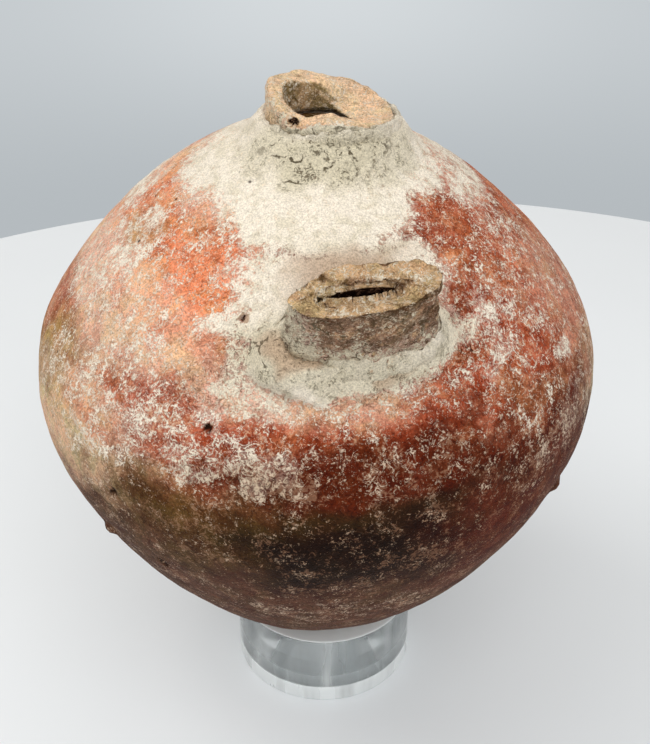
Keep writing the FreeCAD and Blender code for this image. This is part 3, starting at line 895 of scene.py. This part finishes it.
# The bore's reach from the mouth's axis, and how far down its inside counts as seen. That inside
# is laid in dark umber as painted shade.
BORE_EDGE = 7
BORE_DEEP = 8


def colour_body(whole, spots, outside, bore):
    """Keep the body's tint, lime and soil, and give the lime. The pits' floors and the bore are
    painted shade.
    """
    clay = bpy.context.scene.feeder_clay
    tints = slip_tints(spots, clay.plum)
    tints[~outside] = clay.core
    lime = np.where(outside, lime_cover(spots, 0.02), 0.1)
    # Painted shade: the pits' floors, and a wider spot round each where lime lies, are laid
    # near-black; they are also sunk into the skin in shape_body.
    pits = dots(spots, PITS) * outside
    sunk = dots(spots, [(turn, height, 0.7) for turn, height, _ in PITS]) * (lime > 0.9)
    tints[(pits > 0.02) | (sunk > 0)] = clay.smoke_and_painted_shade
    lime[pits > 0.5] = 0
    # Painted shade: the bore, deep in the mouth, is laid in dark umber, with no lime.
    tints[bore] = clay.umber
    lime[bore] = -0.5
    keep(whole, "tint", tints)
    keep(whole, "lime", lime)
    keep(whole, "soil", soil_cover(spots) * outside * (1 - pits))
    return lime


def shape_body(whole, spots, outside, lime):
    """Give the outside its pits, knobs, swell, crust and the crust's foot round the roots."""
    clay = bpy.context.scene.feeder_clay
    raised(whole, "pits", dots(spots, PITS) * outside, -0.6)
    raised(whole, "knobs", dots(spots, KNOBS) * outside, 0.8)
    roughened(whole, lumps("body_swell", 16), clay.swell / MM, 1.0,
              weighted(whole, "outside", outside * 1.0))
    roughened(whole, lumps("lime_lumps", 2.6, 3), clay.crust / MM, 0.7,
              weighted(whole, "limed", outside * np.clip(0.25 + 0.6 * lime, 0, 1)))
    raised(whole, "foot", outside * np.clip(foot_slope(spots), 0, 1), clay.foot / MM)


def halved(whole, name, height, side):
    """A copy of a hollow piece, cut level and kept below (-1) or above (1), its rim closed."""
    select_only(whole)
    bpy.ops.object.duplicate()
    piece = bpy.context.object
    piece.name = name
    edit("EDGE")
    bpy.ops.mesh.bisect(plane_co=(0, 0, height), plane_no=(0, 0, 1),
                        clear_inner=side > 0, clear_outer=side < 0)
    bpy.ops.mesh.mark_sharp()
    bpy.ops.mesh.bridge_edge_loops()
    bpy.ops.mesh.select_all(action="SELECT")
    bpy.ops.mesh.normals_make_consistent(inside=False)
    close_edit()
    return piece


class FEEDER_OT_body(bpy.types.Operator):
    """Make the bowl and the dome, with their slip and their lime"""
    bl_idname = "feeder.body"
    bl_label = "Clay body"

    def execute(self, context):
        low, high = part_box("upper_dome")
        whole = merged_copy("clay_body", "lower_bowl", "upper_dome")
        remeshed(whole, context.scene.feeder_clay.skin_step, 3)
        spots = places(whole)
        heights = spots[:, 2]
        from_mouth = from_upright(spots, *MOUTH)
        outside = np.hypot(spots[:, 0], spots[:, 1]) > skin_radius(heights) - 2
        outside |= (heights > high.z / MM - 3) & (from_mouth > BORE_EDGE)
        bore = (heights > high.z / MM - BORE_DEEP) & (from_mouth < BORE_EDGE)
        lime = colour_body(whole, spots, outside, bore)
        shape_body(whole, spots, outside, lime)
        for name, node, side in (("clay_bowl", "lower_bowl", -1), ("clay_dome", "upper_dome", 1)):
            piece = halved(whole, name, low.z, side)
            dressed(piece, own_clay("worn_slip"), "vessel", "slipped_clay", node)
        select_only(whole)
        bpy.ops.object.delete()
        return {"FINISHED"}


def packed(name, node, wall):
    """Packing round a root, smeared up its wall and pressed into rough crumbs."""
    clay = bpy.context.scene.feeder_clay
    packing = merged_copy(name, node)
    remeshed(packing, clay.fine_step, 5)
    tree = search_tree(wall)
    away = np.array([tree.find_nearest(point.co)[3] for point in packing.data.vertices]) / MM
    front = falling(places(packing)[:, 1], -2, 6)
    worked(packing, "DISPLACE", strength=clay.smear, mid_level=0, direction="Z",
           vertex_group=weighted(packing, "smear", np.clip(1 - away / 2.2, 0, 1) ** 1.5
                                 * (0.4 + 0.6 * front)))
    roughened(packing, lumps("packing_lumps", 2.5, 3), 1.4, 0.5)
    spots = places(packing)
    keep(packing, "tint", one_colour(spots, clay.buff))
    keep(packing, "lime", np.full(len(spots), 1.4))
    keep(packing, "soil", soil_cover(spots))
    dressed(packing, own_clay("packed_lime"), "vessel", "luting_clay", node)


# The neck's front left rim, how far it is worn down, and how far round it.
LOW_RIM = (-5.0, -9.6, 132.0)
RIM_WEAR = (0.4, 0.6, -2.6)
RIM_REACH = 10

# The pit in that rim's face, how deep it goes, how wide it is drawn, and how wide its floor is,
# which is painted near-black as painted shade.
RIM_PIT = (-4.3, -8.9, 129.8)
PIT_DEPTH = (0.5, 1.3, -0.2)
PIT_REACH = 1.3
PIT_FLOOR = 0.9

# How near the clay opposite has to be for a point to lie in the bore, or in the slit.
BORE_LOOK = 12
SLIT_LOOK = 3.5


def shape_neck(neck):
    """Wear the neck's rim down and pit it, roughen it, and give the points of the pit's floor."""
    push(neck, LOW_RIM, RIM_WEAR, RIM_REACH)
    inner = sheltered(neck, BORE_LOOK)
    raised(neck, "mouth", inner * 1.0, 0.5)
    group = weighted(neck, "outer", 1.0 - 0.7 * inner)
    roughened(neck, lumps("neck_wear", 5), 1.3, 0.6, group)
    roughened(neck, lumps("neck_grit", 1.4, 3), 0.6, 0.55, group)
    worked(neck, "SMOOTH", factor=0.5, iterations=1)
    spots = places(neck)
    pit = spots[np.argmin(np.linalg.norm(spots - RIM_PIT, axis=1))]
    floor = np.linalg.norm((spots - pit) * (0.8, 1, 1.3), axis=1) < PIT_FLOOR
    push(neck, tuple(pit), PIT_DEPTH, PIT_REACH)
    return floor


def colour_neck(neck, floor):
    """Keep the neck's tint, lime and soil: a bare rim, a bore darkened in part as painted shade, a
    pit floor painted near-black as shade, and a limy, soiled side.
    """
    clay = bpy.context.scene.feeder_clay
    spots = places(neck)
    upward = facing(neck)[:, 2]
    inner = sheltered(neck, BORE_LOOK)
    from_axis = from_neck(spots)
    side = falling(upward, 0.75, 0.3) * (from_axis > 10) * ~inner
    # Partly painted shade: the bore's inside and the inner wall round the mouth's axis are laid in
    # the darker core colour, and below kept free of lime and soiled; this is in part the clay's
    # own inside colour and dirt, and in part painted shade in the bore.
    deep = np.maximum(inner, falling(from_upright(spots, *MOUTH), 8, 1.5)
                      * falling(upward, 0.8, 0.4))
    edge = (np.clip(1 - np.abs(upward - 0.62) / 0.3, 0, 1) * (from_axis > 9.5)
            * np.clip(0.55 + 0.8 * wavering(spots, 3)[:, 0], 0, 1))
    tints = laid(laid(one_colour(spots, clay.tan), clay.core, deep), clay.ochre, edge)
    # Painted shade: the rim pit's floor is laid near-black, and kept free of lime below.
    tints[floor] = clay.smoke_and_painted_shade
    left = falling(spots[:, 0], -3, 4) * rising(spots[:, 2], 125, 3)
    front = falling(spots[:, 1], 2, 8)
    keep(neck, "tint", tints)
    keep(neck, "lime", np.where(floor, -2.0, np.where(inner, 0.0, 0.34)
                                + side * (1 - 0.8 * left)))
    keep(neck, "soil", np.where(inner, 0.5, 0.2 + 0.7 * side * front))


class FEEDER_OT_neck(bpy.types.Operator):
    """Make the worn neck and the clay packed round its foot"""
    bl_idname = "feeder.neck"
    bl_label = "Neck"

    def execute(self, context):
        neck = merged_copy("clay_neck", "neck")
        remeshed(neck, context.scene.feeder_clay.fine_step, 18)
        colour_neck(neck, shape_neck(neck))
        dressed(neck, own_clay("worn_clay"), "vessel", "bare_clay", "neck")
        packed("neck_packing", "neck_coil", neck)
        return {"FINISHED"}


def shape_spout(spout):
    """Pinch the slit, roughen the rest, hollow the break, and give the points in the slit."""
    clay = bpy.context.scene.feeder_clay
    inner = sheltered(spout, SLIT_LOOK)
    raised(spout, "slit", inner * 1.0, clay.pinch / MM)
    group = weighted(spout, "open", ~inner * 1.0)
    roughened(spout, lumps("spout_wear", 4.5, 3), 2.0, 0.7, group)
    roughened(spout, lumps("spout_grit", 1.3, 3), 0.6, 0.6, group)
    across, out = from_spout(places(spout))[:2]
    beside = out - out[inner].mean()
    beyond = np.maximum(np.abs(across - across[inner].mean()) - 5, 0)
    dish = np.clip(1 - np.hypot(beyond, beside) / 3, 0, 1) * (facing(spout) @ SPOUT_UP > 0.4)
    raised(spout, "dish", dish * ~inner, -1.0)
    return inner


def colour_spout(spout, inner):
    """Keep the spout's tint, lime and soil: a stained break, walls darkened in part as painted
    shade, a painted shadow under the break's edge, a slit painted near-black as painted shade, and
    a limy root.
    """
    clay = bpy.context.scene.feeder_clay
    spots = places(spout)
    ends = facing(spout) @ SPOUT_UP
    end = rising(ends, 0.2, 0.5)
    moved = spots + wavering(spots, 3) * 1.5
    across, out, along = from_spout(moved)
    face_stain = np.clip(3 * wavering(spots * (1, 1, 1.6), 2.2)[:, 1] - 0.2, 0, 1) * np.where(
        end > 0.5, 0.3 + 0.6 * (out < -0.5) * (across < 2), 0)
    # Painted shadow: an umber band on the walls just under the break's edge, fainter to the left.
    painted_lip_shadow = (0.7 * (1 - end) * rising(along - along.max(), -5, 3.5)
                  * np.clip((across + 8) / 5, 0.3, 1))
    # Partly painted shade: the walls take the darker shaded clay colour and the break the lighter
    # broken clay, the walls' darkness in part standing for the shade under the spout's end.
    tints = laid(one_colour(spots, clay.shade_clay), clay.break_clay, end)
    tints = laid(tints, clay.umber, np.maximum(face_stain, painted_lip_shadow))
    # Painted shade: the slit's inside, away from the break's face, is laid near-black, with no
    # lime and no soil.
    dark = inner & (ends < 0.35)
    tints[dark] = clay.smoke_and_painted_shade
    low = falling(moved[:, 2], 109, 7) + falling(across, -7, 4)
    keep(spout, "tint", tints)
    keep(spout, "lime", np.where(dark, -2.0, 0.3 + 0.8 * np.clip(low, 0, 1) * (end < 0.5)))
    keep(spout, "soil", np.where(dark, 0.0, 0.55 + 0.35 * (end < 0.5)))


class FEEDER_OT_spout(bpy.types.Operator):
    """Make the broken spout and the clay packed round its root"""
    bl_idname = "feeder.spout"
    bl_label = "Spout"

    def execute(self, context):
        spout = merged_copy("clay_spout", "spout")
        remeshed(spout, context.scene.feeder_clay.fine_step, 4)
        colour_spout(spout, shape_spout(spout))
        dressed(spout, own_clay("worn_clay"), "vessel", "bare_clay", "spout")
        packed("spout_packing", "spout_coil", spout)
        return {"FINISHED"}


class FEEDER_OT_ring(bpy.types.Operator):
    """Make the clear ring that the vessel stands in"""
    bl_idname = "feeder.ring"
    bl_label = "Clear ring"

    def execute(self, context):
        settings = context.scene.feeder_ring
        low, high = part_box("ring_stand")
        bpy.ops.object.select_all(action="DESELECT")
        bpy.ops.mesh.primitive_cylinder_add(vertices=192, radius=(high.x - low.x) / 2,
                                            depth=high.z - low.z, location=(low + high) / 2)
        ring = context.object
        ring.name = "clear_ring"
        bpy.ops.object.transform_apply(location=True, rotation=True, scale=True)

        # The hole: both flat faces are inset by the wall, and joined through the ring.
        edit("FACE", "DESELECT")
        close_edit()
        for face in ring.data.polygons:
            face.select = abs(face.normal.z) > 0.9
        bpy.ops.object.mode_set(mode="EDIT")
        bpy.ops.mesh.inset(thickness=settings.wall, use_even_offset=True)
        bpy.ops.mesh.bridge_edge_loops()
        close_edit()
        edit("EDGE", "DESELECT")
        bpy.ops.mesh.edges_select_sharp(sharpness=math.radians(40))
        bpy.ops.mesh.bevel(offset=settings.edge, segments=4, profile=0.5, affect="EDGES")
        bpy.ops.mesh.select_all(action="SELECT")
        bpy.ops.mesh.normals_make_consistent(inside=False)
        close_edit()

        # Two level cuts, between which the band of painted light at the foot fades out.
        for height in (settings.band, settings.band + 0.3 * MM):
            edit("EDGE")
            bpy.ops.mesh.bisect(plane_co=(0, 0, low.z + height), plane_no=(0, 0, 1))
            close_edit()
        heights = places(ring)[:, 2]
        banded = heights < (low.z + settings.band) / MM + 0.1
        # Painted light: the top rim (1) and the foot band (0.7) are stored to be made whiter and
        # less clear, for light carried through the plastic.
        keep(ring, "rim", np.where(heights > high.z / MM - 0.2, 1.0, 0.7 * banded))
        dressed(ring, clear_material(tuple(settings.tint)), "stand", "clear_acrylic",
                "ring_stand")
        bpy.ops.object.shade_smooth_by_angle(angle=math.radians(35))
        return {"FINISHED"}


# The stage. Where the camera stands, what it looks at, and the table's middle, in millimetres.
EYE = (1.77, -213.8, 216.9)
AIM = (1.77, 0, 73.26)
TABLE_MIDDLE = (16.6, -46.7)

# Lamps: name, share of the key lamp's power, width, place, what it is turned to, and colour.
# Widths and places are in metres.
LAMPS = [
    ("key_lamp", 1.0, 0.6, (-0.52, 0.02, 0.85), (0, 0, 0.07), (1.0, 0.985, 0.96)),
    ("front_lamp", 0.8, 0.6, (0.12, -0.5, 0.5), (0, -0.06, 0), (0.97, 0.985, 1.0)),
]


def turned_to(target, place):
    """The turn of a lamp or a camera that stands at a place and looks at a target."""
    return (Vector(target) - Vector(place)).to_track_quat("-Z", "Y").to_euler()


def make_table(stage):
    """The round table top, in slightly uneven paint."""
    bpy.ops.object.select_all(action="DESELECT")
    bpy.ops.mesh.primitive_cylinder_add(
        vertices=256, radius=stage.table_radius, depth=stage.table_depth,
        location=(TABLE_MIDDLE[0] * MM, TABLE_MIDDLE[1] * MM, -stage.table_depth / 2))
    table = bpy.context.object
    table.name = "table_top"
    bpy.ops.object.transform_apply(location=True, rotation=True, scale=True)
    worked(table, "BEVEL", width=1.5 * MM, segments=3, limit_method="ANGLE")
    select_only(table)
    bpy.ops.object.shade_smooth_by_angle(angle=math.radians(35))
    material, tree, surface = new_material("table_paint")
    where = shade(tree, "TexCoord").outputs["Object"]
    paint = tuple(stage.table)
    uneven = mixed(tree, ramp(tree, grain(tree, where, 120, 3, 0.5), 0.3, 0.7),
                   tuple(0.97 * part for part in paint), paint)
    tree.links.new(uneven, surface.inputs["Base Color"])
    surface.inputs["Roughness"].default_value = 0.55
    table.data.materials.append(material)


def make_backdrop(stage):
    """Light from all round, and a grey wall that only the camera and clear things see."""
    world = bpy.data.worlds.new("studio")
    bpy.context.scene.world = world
    world.use_nodes = True
    tree = world.node_tree
    tree.nodes.clear()
    rays = shade(tree, "LightPath").outputs
    seen = sums(tree, "MAXIMUM", rays["Is Camera Ray"],
                sums(tree, "MAXIMUM", rays["Is Glossy Ray"], rays["Is Transmission Ray"]))
    looking = shade(tree, "TexCoord").outputs["Generated"]
    way = shade(tree, "SeparateXYZ", {"Vector": looking}).outputs
    from_above = ramp(tree, way["Z"], -0.6, 0.8, 0.5 * stage.fill, stage.fill)
    around = shade(tree, "Background", {"Color": (1.0, 0.99, 0.975, 1), "Strength": from_above})
    low, high = tuple(stage.backdrop_low), tuple(stage.backdrop_high)
    wall = mixed(tree, ramp(tree, way["Z"], -0.45, -0.3), low, high)
    sideways = sums(tree, "ABSOLUTE", way["X"])
    wall = mixed(tree, ramp(tree, sideways, 0.0, 0.26, 0, 0.5), wall, low)
    behind = shade(tree, "Background", {"Color": wall, "Strength": 1.0})
    both = shade(tree, "MixShader", {0: seen, 1: around.outputs[0], 2: behind.outputs[0]})
    shade(tree, "OutputWorld", {"Surface": both.outputs[0]})


def make_lamp(name, power, width, place, target, tint):
    """A large soft lamp at a place, turned to a target."""
    light = bpy.data.lights.new(name, "AREA")
    light.shape = "DISK"
    light.size = width
    light.energy = power
    light.color = tint
    lamp = new_object(name, light)
    lamp.location = place
    lamp.rotation_euler = turned_to(target, place)


def make_camera(stage):
    """The camera, where the photographer stood."""
    camera = new_object("camera", bpy.data.cameras.new("camera"))
    camera.location = Vector(EYE) * MM
    camera.rotation_euler = turned_to(Vector(AIM) * MM, Vector(EYE) * MM)
    camera.data.lens = stage.lens
    camera.data.sensor_width = 36
    camera.data.clip_start = 1 * MM
    bpy.context.scene.camera = camera


class FEEDER_OT_stage(bpy.types.Operator):
    """Make the round table top, the backdrop, the lamps and the camera"""
    bl_idname = "feeder.stage"
    bl_label = "Stage"

    def execute(self, context):
        stage = context.scene.feeder_stage
        context.scene.view_settings.view_transform = "Standard"
        make_table(stage)
        make_backdrop(stage)
        for name, share, width, place, target, tint in LAMPS:
            make_lamp(name, stage.key * share, width, place, target, tint)
        make_camera(stage)
        return {"FINISHED"}


class FEEDER_PT_panel(bpy.types.Panel):
    """Buttons for the pieces and their settings"""
    bl_label = "Infant feeder"
    bl_idname = "FEEDER_PT_panel"
    bl_space_type = "VIEW_3D"
    bl_region_type = "UI"
    bl_category = "Feeder"

    def draw(self, context):
        for step in STEPS:
            self.layout.operator(step.bl_idname)
        for group in GROUPS:
            settings = getattr(context.scene, group)
            for name in GROUPS[group].__annotations__:
                self.layout.prop(settings, name)


STEPS = [FEEDER_OT_body, FEEDER_OT_neck, FEEDER_OT_spout, FEEDER_OT_ring, FEEDER_OT_stage]
GROUPS = {"feeder_clay": FeederClay, "feeder_ring": FeederRing, "feeder_stage": FeederStage}


def register():
    for item in (*GROUPS.values(), *STEPS, FEEDER_PT_panel):
        bpy.utils.register_class(item)
    for name, group in GROUPS.items():
        setattr(bpy.types.Scene, name, bpy.props.PointerProperty(type=group))


def unregister():
    for name in GROUPS:
        delattr(bpy.types.Scene, name)
    for item in reversed((*GROUPS.values(), *STEPS, FEEDER_PT_panel)):
        bpy.utils.unregister_class(item)


def main():
    register()
    bpy.ops.feeder.body()
    bpy.ops.feeder.neck()
    bpy.ops.feeder.spout()
    bpy.ops.feeder.ring()
    bpy.ops.feeder.stage()


if __name__ == "__main__":
    main()
